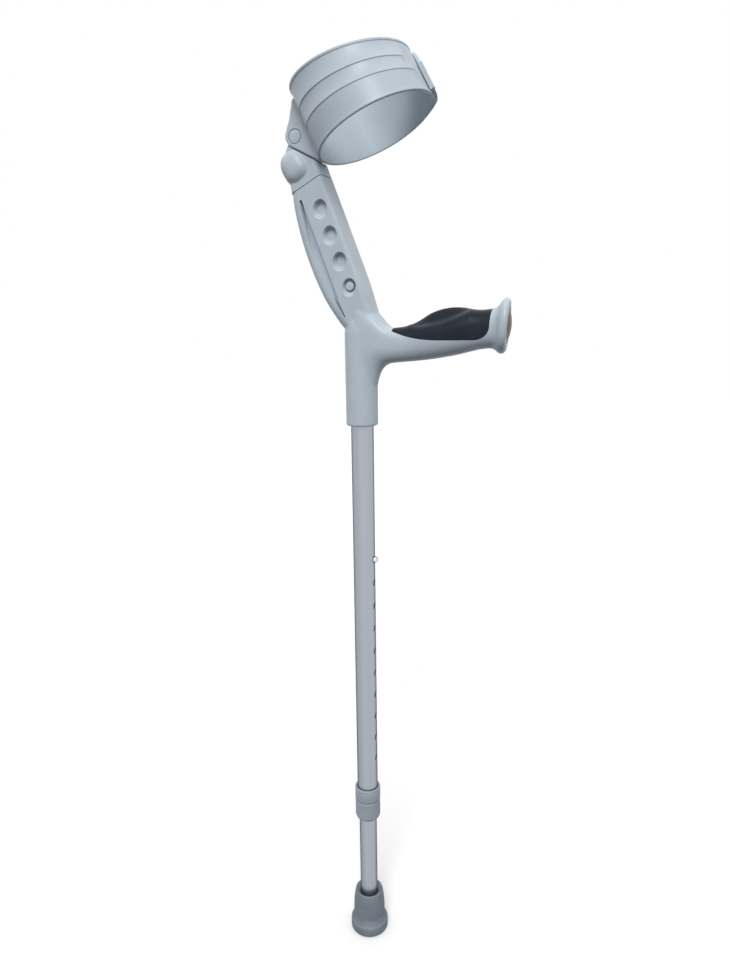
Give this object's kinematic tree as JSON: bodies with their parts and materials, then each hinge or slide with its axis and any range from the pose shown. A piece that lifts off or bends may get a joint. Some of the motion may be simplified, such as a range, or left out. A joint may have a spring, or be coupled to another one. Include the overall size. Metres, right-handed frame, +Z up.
{
  "type": "forearm crutch",
  "caption": "Forearm crutch: a telescopic round tube on a rubber tip, a moulded handle with a soft palm pad, and a closed tilting cuff on a sliding post.",
  "frame": {"origin": "centre of the rubber tip's underside, on the axis of the two round tubes, with the leg at its shortest setting", "axes": "+Z up along the tubes, +X forward along the handle, the push button of the cuff post faces -Y"},
  "size_m": [0.2168, 0.1122, 0.9072],
  "materials": {
    "grey_polypropylene": "satin moulded",
    "grey_collar_plastic": "satin moulded",
    "satin_aluminium": "satin anodised",
    "chromed_steel": "polished",
    "spring_steel": "bare",
    "zinc_plated_steel": "zinc plated",
    "black_soft_grip": "soft matt",
    "brown_end_disc": "matt",
    "grey_rubber": "matt",
    "white_nylon": "moulded"
  },
  "bodies": {
    "handle": {"handle_body": "grey_polypropylene", "grip_pad": "black_soft_grip", "end_disc": "brown_end_disc", "upper_tube": "satin_aluminium", "tube_plug": "white_nylon", "clamp_sleeve": "grey_collar_plastic", "clamp_collet": "white_nylon"},
    "leg": {"lower_tube": "satin_aluminium", "glide_bush": "white_nylon", "rubber_foot": "grey_rubber", "foot_washer": "zinc_plated_steel", "snap_clip": "spring_steel"},
    "leg_button": {"snap_button": "chromed_steel"},
    "nut": {"clamp_nut": "grey_collar_plastic"},
    "post": {"cuff_slider": "grey_polypropylene", "button_coil": "spring_steel"},
    "post_button": {"cuff_button": "grey_polypropylene"},
    "arm_cuff": {"cuff": "grey_polypropylene", "pivot_pin": "grey_polypropylene", "pivot_cap": "grey_polypropylene"}
  },
  "joints": [
    {"name": "leg_height", "type": "slide", "parent": "handle", "child": "leg", "axis": [0, 0, -1], "range_m": [0, 0.225], "deforming": ["snap_button", "snap_clip"]},
    {"name": "leg_button_press", "type": "slide", "parent": "leg", "child": "leg_button", "axis": [-1, 0, 0], "range_m": [0, 0.0055], "stiffness_N_per_m": 1500, "deforming": ["snap_clip"]},
    {"name": "nut_turn", "type": "hinge", "parent": "handle", "child": "nut", "pos_m": [0, 0, 0.1624], "axis": [0, 0, 1], "range_deg": [0, 120]},
    {"name": "post_height", "type": "slide", "parent": "handle", "child": "post", "axis": [-0.3665, 0, 0.9304], "range_m": [0, 0.075], "deforming": ["cuff_button", "button_coil"]},
    {"name": "post_button_press", "type": "slide", "parent": "post", "child": "post_button", "axis": [0, 1, 0], "range_m": [0, 0.003], "stiffness_N_per_m": 1200, "deforming": ["button_coil"]},
    {"name": "cuff_tilt", "type": "hinge", "parent": "post", "child": "arm_cuff", "pos_m": [-0.0566, 0, 0.8418], "axis": [0, -1, 0], "range_deg": [0, 30]}
  ]
}
